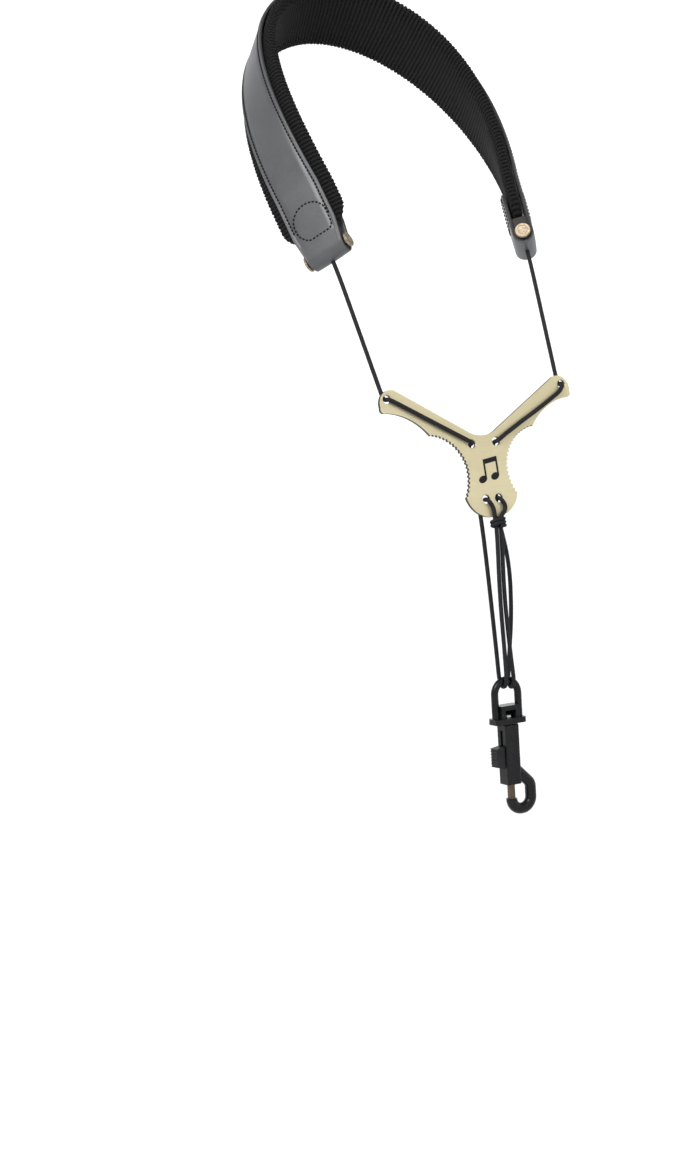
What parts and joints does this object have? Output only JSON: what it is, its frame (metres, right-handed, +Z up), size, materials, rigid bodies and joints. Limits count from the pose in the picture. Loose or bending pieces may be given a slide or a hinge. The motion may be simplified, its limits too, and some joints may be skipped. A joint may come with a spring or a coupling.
{
  "type": "saxophone neck strap",
  "caption": "Saxophone neck strap: padded leather neck band, sliding metal yoke plate on a round cord, and a swivel snap hook with a sprung plunger.",
  "frame": {"origin": "middle of the band's inner face at the nape of the neck", "axes": "+Z up, -Y to the wearer's front, +X to the wearer's left"},
  "size_m": [0.1684, 0.1793, 0.485],
  "materials": {
    "leather": "smooth, satin, fine grain",
    "leather_core": "cut edge, matt",
    "knit": "ribbed knit",
    "foam": "open foam filling",
    "brass": "polished",
    "plate": "pale champagne anodised, satin",
    "inlay": "black fill",
    "cord": "fine round braid",
    "plastic": "moulded, semi-gloss",
    "thumb": "moulded, ribbed",
    "steel": "bright",
    "plunger": "dark bronze-toned plating"
  },
  "bodies": {
    "neck_pad": {"leather_band": "leather", "knit_cover": "knit", "foam_core": "foam", "end_core_left": "leather_core", "end_core_right": "leather_core", "cord_eye_left": "cord", "cord_eye_right": "cord", "rivet_post_left": "brass", "rivet_post_right": "brass", "rivet_cap_left": "brass", "rivet_cap_right": "brass", "upper_cord_left": "cord", "upper_cord_right": "cord"},
    "yoke": {"yoke_plate": "plate", "plate_inlay": "inlay", "plate_cord_left": "cord", "plate_cord_right": "cord", "plate_cord_loop": "cord", "keeper_knot": "cord"},
    "hang_cord": {"drop_cord_left": "cord", "drop_cord_right": "cord"},
    "ring": {"swivel_ring": "plastic"},
    "hook": {"hook_body": "plastic", "barrel_cap": "plastic", "swivel_pin": "steel", "plunger_spring": "steel"},
    "trigger": {"plunger": "plunger", "thumb_slide": "thumb"}
  },
  "joints": [
    {"name": "plate_slide", "type": "slide", "parent": "neck_pad", "child": "yoke", "axis": [0, 0, 1], "range_m": [-0.08, 0.03], "deforming": ["upper_cord_left", "upper_cord_right"]},
    {"name": "hook_reach", "type": "slide", "parent": "yoke", "child": "hang_cord", "axis": [0, 0, 1], "range_m": [-0.0155, 0.0405], "deforming": ["drop_cord_left", "drop_cord_right"]},
    {"name": "ring_swing", "type": "hinge", "parent": "hang_cord", "child": "ring", "pos_m": [0, -0.1575, -0.3867], "axis": [1, 0, 0], "range_deg": [-40, 40]},
    {"name": "hook_swivel", "type": "hinge", "parent": "ring", "child": "hook", "pos_m": [0, -0.1575, -0.4117], "axis": [0, 0, 1], "continuous": true},
    {"name": "trigger_slide", "type": "slide", "parent": "hook", "child": "trigger", "axis": [0, 0, 1], "range_m": [0, 0.009], "stiffness_N_per_m": 150, "springref_m": -0.006, "deforming": ["plunger_spring"]}
  ],
  "couplings": [
    {"joint": "hook_reach", "follows": "plate_slide", "ratio": -0.5}
  ]
}
